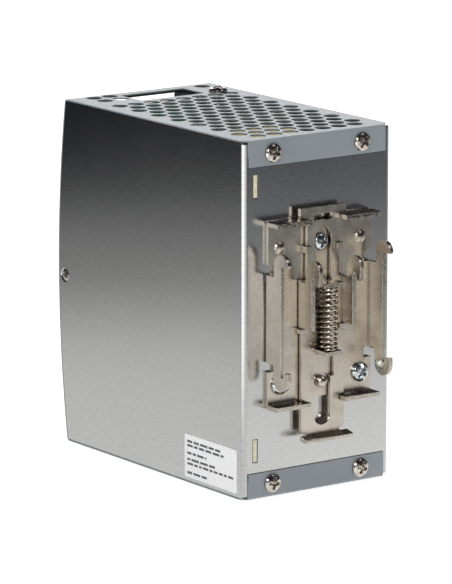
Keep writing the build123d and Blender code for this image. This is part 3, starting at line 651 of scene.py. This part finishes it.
def flat_square(half, height):
    """Level square centred under the object."""
    mesh = bmesh.new()
    bmesh.ops.create_grid(mesh, x_segments=1, y_segments=1, size=half)
    bmesh.ops.translate(mesh, verts=mesh.verts, vec=(0, 0, height))
    return mesh


def add_backdrop():
    """White sphere round everything, which only the camera sees."""
    shell = bmesh.new()
    bmesh.ops.create_uvsphere(shell, u_segments=48, v_segments=24, radius=BACKDROP_RADIUS)
    bmesh.ops.reverse_faces(shell, faces=shell.faces)
    stage_piece("backdrop", shell, white_glow("backdrop_white", 1.0))


def add_floor():
    """Pale matt floor that photographs white, with a soft contact shadow and a plain white horizon."""
    f = Finish("floor_matt")
    paper = f.node("ShaderNodeBsdfDiffuse")
    paper.inputs["Color"].default_value = (0.85, 0.85, 0.85, 1)
    glow = f.node("ShaderNodeEmission")
    strength = f.remap(f.distance(), GLOW_RISES_FROM, GLOW_RISES_TO, FLOOR_GLOW_NEAR, FLOOR_GLOW_FAR)
    f.feed(glow.inputs["Strength"], strength)
    both = f.node("ShaderNodeAddShader")
    f.feed(both.inputs[0], paper.outputs[0])
    f.feed(both.inputs[1], glow.outputs[0])
    f.feed(f.output.inputs["Surface"], both.outputs[0])
    stage_piece("floor", flat_square(FLOOR_HALF, FLOOR_Z), f.material, diffuse=True, shadow=True)


# The studio round the object, as the bare metal mirrors it. Each row is (position, level).
# Position is metres from the object for TABLE_STOPS and FAR_STOPS. For the others it is the
# direction from the object, where 0 and 1 are -X, 0.25 is -Y, 0.5 is +X and 0.75 is +Y.
TABLE_STOPS = [(0.0, 0.83), (0.19, 0.76), (0.24, 0.69), (0.30, 0.52),
               (0.37, 0.24), (0.48, 0.36), (0.54, 0.009), (1.0, 0.009)]
FAR_STOPS = [(0.0, 0.0), (0.12, 0.0), (0.3, 1.0), (1.0, 1.0)]
SIDE_STOPS = [(0.0, 0.35), (0.12, 0.0), (0.46, 0.0), (0.53, 0.95), (0.61, 0.95),
              (0.65, 0.6), (0.71, 0.45), (0.79, 0.0), (0.92, 0.1), (1.0, 0.35)]
CLIP_SIDE_STOPS = [(0.0, 0.0), (0.6, 0.0), (0.78, 1.0), (0.9, 1.0), (1.0, 0.0)]
CLIP_SIDE_LIFT = 0.25  # how much brighter the table is on the clip's side
WHITE_LEVEL, WHITE_NEAR = 1.9, 0.35  # the white directions far off, and their share close by
DIM_TINT, LIT_TINT, LIT_FROM = (0.8, 0.92, 1.3), (1.0, 1.0, 0.985), 0.2


def add_reflected_floor():
    """What the metal sees of the table: bright near the object, dark further off, white to one side."""
    f = Finish("table_glow")
    away = f.distance()
    direction = f.remap(f.math("ARCTAN2", f.along(1), f.along(0)), -math.pi, math.pi, 0.0, 1.0)
    reach = f.math("ADD", WHITE_NEAR, f.times(f.ramp(away, FAR_STOPS), 1 - WHITE_NEAR))
    white = f.times(f.ramp(direction, SIDE_STOPS), reach)
    lift = f.math("ADD", 1.0, f.times(f.ramp(direction, CLIP_SIDE_STOPS), CLIP_SIDE_LIFT))
    table = f.times(f.ramp(away, TABLE_STOPS), lift)
    strength = f.math("MAXIMUM", table, f.times(white, WHITE_LEVEL))
    glow = f.node("ShaderNodeEmission")
    f.feed(glow.inputs["Strength"], strength)
    f.feed(glow.inputs["Color"], f.mix(f.rise(strength, 0.0, LIT_FROM), DIM_TINT, LIT_TINT))
    f.feed(f.output.inputs["Surface"], glow.outputs[0])
    stage_piece("table_card", flat_square(TABLE_HALF, TABLE_Z), f.material, camera=False, glossy=True)


LIGHT_TARGET = Vector((0, 0, 0.06))
SOFTBOXES = [  # name, place, width and height, watts, whether the metal mirrors it
    ("overhead", (-0.1, -0.1, 1.15), (1.2, 1.2), 9.5, False),
    ("behind_camera", (1.0, 1.1, 0.75), (0.34, 0.5), 6, True),
    ("behind_camera_wide", (1.02, 1.12, 0.75), (0.95, 0.6), 3, True),
    ("front_fill", (-0.7, -1.2, 0.7), (0.9, 0.9), 5, True),
    ("clip_top", (-0.5, 0.68, 0.95), (0.35, 0.35), 1.3, True),
]
CARD_PLACE, CARD_SIZE, CARD_LEVEL = (-0.95, -1.3, 0.42), (1.3, 0.62), 0.27
WORLD_COLOUR = (0.028, 0.029, 0.04, 1)


def add_softbox(name, place, size, watts, mirrored):
    """Rectangular light that faces the object."""
    data = bpy.data.lights.new(name, "AREA")
    data.shape = "RECTANGLE"
    data.size, data.size_y = size
    data.energy = watts
    lamp = bpy.data.objects.new(name, data)
    lamp.location = place
    lamp.rotation_euler = (Vector(place) - LIGHT_TARGET).to_track_quat("Z", "Y").to_euler()
    lamp.visible_glossy = mirrored
    bpy.context.scene.collection.objects.link(lamp)


def add_world():
    """Dim, even surroundings."""
    world = bpy.data.worlds.new("studio")
    world.use_nodes = True
    world.node_tree.nodes["Background"].inputs["Color"].default_value = WORLD_COLOUR
    bpy.context.scene.world = world


def add_card():
    """Pale card that stands up and faces the object, seen in reflections only."""
    mesh = bmesh.new()
    bmesh.ops.create_grid(mesh, x_segments=1, y_segments=1, size=0.5)
    turn = Vector((CARD_PLACE[0], CARD_PLACE[1], 0)).to_track_quat("Z", "Y").to_matrix().to_4x4()
    scale = Matrix.Diagonal((*CARD_SIZE, 1, 1))
    bmesh.ops.transform(mesh, matrix=Matrix.Translation(CARD_PLACE) @ turn @ scale, verts=mesh.verts)
    stage_piece("far_card", mesh, white_glow("far_card_white", CARD_LEVEL), camera=False, glossy=True)


def add_stage():
    """Floor, backdrop and lights, none of them part of the object."""
    add_world()
    add_backdrop()
    add_floor()
    add_reflected_floor()
    for row in SOFTBOXES:
        add_softbox(*row)
    add_card()
    bpy.context.scene.view_settings.view_transform = "Standard"
    bpy.context.scene.cycles.glossy_bounces = 8


# ---------------------------------------------------------------- build


def islands(name):
    """Lowest and highest corner of each separate solid of a CAD node, from low to high along Z, then X."""
    mesh = bmesh.new()
    mesh.from_mesh(nodes[name].data)
    bmesh.ops.remove_doubles(mesh, verts=mesh.verts, dist=WELD_DISTANCE)
    left = set(mesh.verts)
    found = []
    while left:
        frontier = [left.pop()]
        points = []
        while frontier:
            vertex = frontier.pop()
            points.append(vertex.co.copy())
            for link in vertex.link_edges:
                other = link.other_vert(vertex)
                if other in left:
                    left.discard(other)
                    frontier.append(other)
        low = Vector([min(p[i] for p in points) for i in range(3)])
        high = Vector([max(p[i] for p in points) for i in range(3)])
        found.append((low, high))
    mesh.free()
    return sorted(found, key=lambda pair: (round(pair[0].z, 4), round(pair[0].x, 4)))


def step(low, high, value):
    """Smooth 0 to 1 as the value goes from low to high."""
    t = min(max((value - low) / (high - low), 0.0), 1.0)
    return t * t * (3 - 2 * t)


SEGMENTS = 72  # points round a screw


def ring_of(mesh, radius, height):
    """Ring of points about Z. height gives each point's Z from its number."""
    ring = []
    for k in range(SEGMENTS):
        angle = k * math.tau / SEGMENTS
        ring.append(mesh.verts.new((radius * math.cos(angle), radius * math.sin(angle), height(k))))
    return ring


def join_rings(mesh, inner, outer):
    """Faces between two rings of as many points."""
    for k in range(len(inner)):
        after = (k + 1) % len(inner)
        mesh.faces.new((inner[k], outer[k], outer[after], inner[after]))


HEAD_RINGS = 34  # fine enough for the recess's walls
SHANK_R = 1.45 * MM
THREAD_ROOT = 0.86  # radius between the thread's crests, as a share of the shank's
STEPS_PER_THREAD = 4


def cross_screw(radius, crown, rim, wing, slit, depth, turn, shank_l):
    """Cross-recessed screw along Z: a crowned head from Z = 0 up, and a threaded shank below.

    A rim of 0 makes a countersunk screw, whose shank starts under its cone.
    """
    mesh = bmesh.new()

    def surface(r, k):
        """Height of the head's top at a radius and a point of the ring."""
        angle = k * math.tau / SEGMENTS + turn
        u = abs(r * math.cos(angle))
        v = abs(r * math.sin(angle))
        bulge = rim + (crown - rim) * (1 - (r / radius) ** 2)
        round_off = 0.25 * rim * step(0.88 * radius, radius, r) if rim else 0.0
        arm = 1 - step(slit * 0.75, slit * 1.25, min(u, v))
        reach = 1 - step(wing * 0.82, wing * 1.05, max(u, v))
        return bulge - round_off - depth * arm * reach * (1.15 - 0.45 * max(u, v) / wing)

    centre = mesh.verts.new((0, 0, surface(0, 0)))
    before = None
    for i in range(1, HEAD_RINGS + 1):
        r = radius * i / HEAD_RINGS
        ring = ring_of(mesh, r, lambda k, r=r: surface(r, k))
        if before is None:
            for k in range(SEGMENTS):
                mesh.faces.new((centre, ring[k], ring[(k + 1) % SEGMENTS]))
        else:
            join_rings(mesh, before, ring)
        before = ring
    profile = [(radius, 0.0), (SHANK_R, 0.0)] if rim else [(SHANK_R, -crown - 0.9 * MM)]
    steps = (5 if rim else 3) * STEPS_PER_THREAD
    top = profile[-1][1]
    for i in range(1, steps + 1):
        swell = (1.0, THREAD_ROOT, THREAD_ROOT, 1.0)[i % STEPS_PER_THREAD]
        profile.append((SHANK_R * swell, top - shank_l * i / steps))
    for r, z in profile:
        ring = ring_of(mesh, r, lambda k, z=z: z)
        join_rings(mesh, before, ring)
        before = ring
    mesh.faces.new(reversed(before))
    bmesh.ops.recalc_face_normals(mesh, faces=mesh.faces)
    return mesh


def add_into(target, part, matrix):
    """Moves a small mesh into place and adds it to a bigger one."""
    bmesh.ops.transform(part, matrix=matrix, verts=part.verts)
    holder = bpy.data.meshes.new("holder")
    part.to_mesh(holder)
    part.free()
    target.from_mesh(holder)
    bpy.data.meshes.remove(holder)


TOWARDS = {  # turns a screw made on +Z to where its head looks
    "back": Matrix.Rotation(-math.pi / 2, 4, "X"),
    "up": Matrix.Identity(4),
    "+x": Matrix.Rotation(math.pi / 2, 4, "Y"),
    "-x": Matrix.Rotation(-math.pi / 2, 4, "Y"),
}


def screw_group(node, slot, make):
    """One piece for all the screws of a CAD node. make gives each one's mesh, place and direction."""
    group = bmesh.new()
    for part, place, way in make(islands(node)):
        add_into(group, part, Matrix.Translation(place) @ TOWARDS[way])
    piece = finish_piece(f"{node}_detailed", group, slot)
    smooth_by_angle(piece, 40)
    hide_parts(node)


def pan_heads(way, head_h, seed):
    """Maker of a group's screws, each with its own turn of the cross.

    head_h gives a head's height from its radius.
    """
    def make(boxes):
        chance = random.Random(seed)
        for low, high in boxes:
            middle = (low + high) / 2
            radius = (high.x - low.x) / 2
            tall = head_h(radius)
            if way == "back":
                place = Vector((middle.x, high.y - tall, middle.z))
                length = high.y - low.y - tall
            else:
                place = Vector((middle.x, middle.y, high.z - tall))
                length = high.z - low.z - tall
            turn = chance.uniform(0, math.pi / 2)
            wing, slit = radius * 0.66, radius * 0.15
            part = cross_screw(radius, tall, tall * 0.5, wing, slit, tall * 0.62, turn, length)
            yield part, place, way
    return make


FLUSH_CROWN = 0.45 * MM
FLUSH_DEPTH = 0.7 * MM
FLUSH_TURN = 0.5
FLUSH_SHANK_L = 2.4 * MM


def flush_heads(boxes):
    """The two countersunk side screws, one facing each way."""
    for low, high in boxes:
        middle = (low + high) / 2
        radius = (high.z - low.z) / 2
        outward = middle.x > 0
        x = high.x - FLUSH_CROWN if outward else low.x + FLUSH_CROWN
        wing, slit = radius * 0.6, radius * 0.14
        part = cross_screw(radius, FLUSH_CROWN, 0.0, wing, slit, FLUSH_DEPTH, FLUSH_TURN, FLUSH_SHANK_L)
        yield part, Vector((x, middle.y, middle.z)), "+x" if outward else "-x"


LOW_HEAD, TALL_HEAD, TOP_HEAD = 2.0 * MM, 2.3 * MM, 2.1 * MM
WIDE_HEAD_FROM = 3.2 * MM  # bracket screws of this radius or more have the taller head


def add_screws():
    """The screws that show, with real recesses in place of the CAD's plainer ones."""
    def bracket_head(radius):
        return LOW_HEAD if radius < WIDE_HEAD_FROM else TALL_HEAD

    screw_group("flange_screws", "nickel_screw", pan_heads("back", lambda r: LOW_HEAD, 4))
    screw_group("bracket_screws", "zinc_screw", pan_heads("back", bracket_head, 9))
    screw_group("top_screw", "nickel_screw", pan_heads("up", lambda r: TOP_HEAD, 2))
    screw_group("side_screws", "nickel_screw", flush_heads)


WIRE_R = 0.5 * MM
WIRE_SIDES = 16
SPRING_TURNS = 12.3
SPRING_POINTS = 640
SPRING_START = 0.7  # direction of the wire's lower end, in radians from +X
CLOSED_PITCH, OPEN_PITCH, PITCH_GROWTH = 1.02, 1.7, 0.35  # relative: only their proportions count


def spring_path(low, high, radius):
    """Points of a helix with closed ends, wound a little tighter at its lower half."""
    last = SPRING_POINTS - 1
    pitches = []
    for i in range(SPRING_POINTS):
        t = i / last
        from_end = min(t, 1 - t) * SPRING_TURNS
        free = OPEN_PITCH + PITCH_GROWTH * t
        pitches.append(CLOSED_PITCH + (free - CLOSED_PITCH) * step(0.55, 1.15, from_end))
    total = sum(pitches[1:])
    points = []
    z = low
    for i in range(SPRING_POINTS):
        if i:
            z += (high - low) * pitches[i] / total
        angle = i / last * SPRING_TURNS * math.tau + SPRING_START
        points.append(Vector((radius * math.cos(angle), radius * math.sin(angle), z)))
    return points


def add_spring():
    """Round-wire compression spring, squeezed from below as the latch goes up."""
    low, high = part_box("latch_spring")
    radius = (high.x - low.x) / 2 - WIRE_R
    middle = (low + high) / 2
    path = spring_path(low.z + WIRE_R, high.z - WIRE_R, radius)
    mesh = bmesh.new()
    before = None
    for i, point in enumerate(path):
        ahead = path[min(i + 1, len(path) - 1)] - path[max(i - 1, 0)]
        ahead.normalize()
        outward = Vector((point.x, point.y, 0)).normalized()
        across = ahead.cross(outward).normalized()
        outward = across.cross(ahead)
        ring = []
        for k in range(WIRE_SIDES):
            turn = k * math.tau / WIRE_SIDES
            ring.append(mesh.verts.new(point + WIRE_R * (outward * math.cos(turn) + across * math.sin(turn))))
        if before:
            join_rings(mesh, before, ring)
        else:
            mesh.faces.new(ring)
        before = ring
    mesh.faces.new(reversed(before))
    bmesh.ops.translate(mesh, verts=mesh.verts, vec=(middle.x, middle.y, 0))
    bmesh.ops.recalc_face_normals(mesh, faces=mesh.faces)
    piece = finish_piece("latch_spring_wire", mesh, "spring_wire")
    smooth_by_angle(piece, 50)
    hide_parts("latch_spring")
    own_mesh(piece)


LABEL_CORNER = 0.8 * MM
CORNER_STEPS = 6
INK_UNDER = 0.02 * MM  # the bars' height above the film, within the CAD label's thickness
INK_INSET = 0.005 * MM  # keeps the bars' two faces off the film's face and the CAD label's
BAR_MARGIN = 1.6 * MM
BAR_HALF_H, BAR_CORNER = 0.42 * MM, 0.15 * MM
WORD_RANGE = (1.6, 4.6)  # millimetres
WORD_GAP, WORD_LEAST = 0.75 * MM, 0.6 * MM
BAR_LINES = [  # height above the label's foot and length of each line of bars, in millimetres
    (13.0, 21.0), (11.5, 22.5), (8.8, 11.5), (6.6, 17.5), (5.0, 27.5), (1.8, 12.5),
]


def rounded_sheet(mesh, x0, x1, low, high, corner):
    """Thin sheet with rounded corners in the YZ plane, from x0 to x1."""
    outline = []
    for cy, cz, start in ((high.y, high.z, 0), (low.y, high.z, 1), (low.y, low.z, 2), (high.y, low.z, 3)):
        inner_y = cy - corner if cy == high.y else cy + corner
        inner_z = cz - corner if cz == high.z else cz + corner
        for k in range(CORNER_STEPS + 1):
            angle = (start + k / CORNER_STEPS) * math.pi / 2
            outline.append((inner_y + corner * math.cos(angle), inner_z + corner * math.sin(angle)))
    back = [mesh.verts.new((x0, y, z)) for y, z in outline]
    front = [mesh.verts.new((x1, y, z)) for y, z in outline]
    mesh.faces.new(front)
    mesh.faces.new(reversed(back))
    for i in range(len(outline)):
        j = (i + 1) % len(outline)
        mesh.faces.new((back[i], back[j], front[j], front[i]))


def add_label():
    """White sticker with plain bars where print would be."""
    low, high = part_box("rating_label")
    film_x = high.x - INK_UNDER
    sheet = bmesh.new()
    rounded_sheet(sheet, low.x, film_x, low, high, LABEL_CORNER)
    bmesh.ops.recalc_face_normals(sheet, faces=sheet.faces)
    film = finish_piece("rating_label_film", sheet, "label_film")
    smooth_by_angle(film)
    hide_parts("rating_label")
    chance = random.Random(11)
    bars = bmesh.new()
    for height, length in BAR_LINES:
        y = low.y + BAR_MARGIN
        end = y + length * MM
        z = low.z + height * MM
        while y < end - WORD_LEAST:
            word = min(chance.uniform(*WORD_RANGE) * MM, end - y)
            corner_low = Vector((0, y, z - BAR_HALF_H))
            corner_high = Vector((0, y + word, z + BAR_HALF_H))
            rounded_sheet(bars, film_x - INK_INSET, high.x - INK_INSET, corner_low, corner_high, BAR_CORNER)
            y += word + WORD_GAP
    bmesh.ops.recalc_face_normals(bars, faces=bars.faces)
    ink = finish_piece("rating_label_bars", bars, "label_film")
    ink.data.materials[0] = LABEL_INK
    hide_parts("rating_label")


def main():
    add_camera()
    add_stage()
    dress_cad_nodes()
    add_screws()
    add_spring()
    add_label()


main()
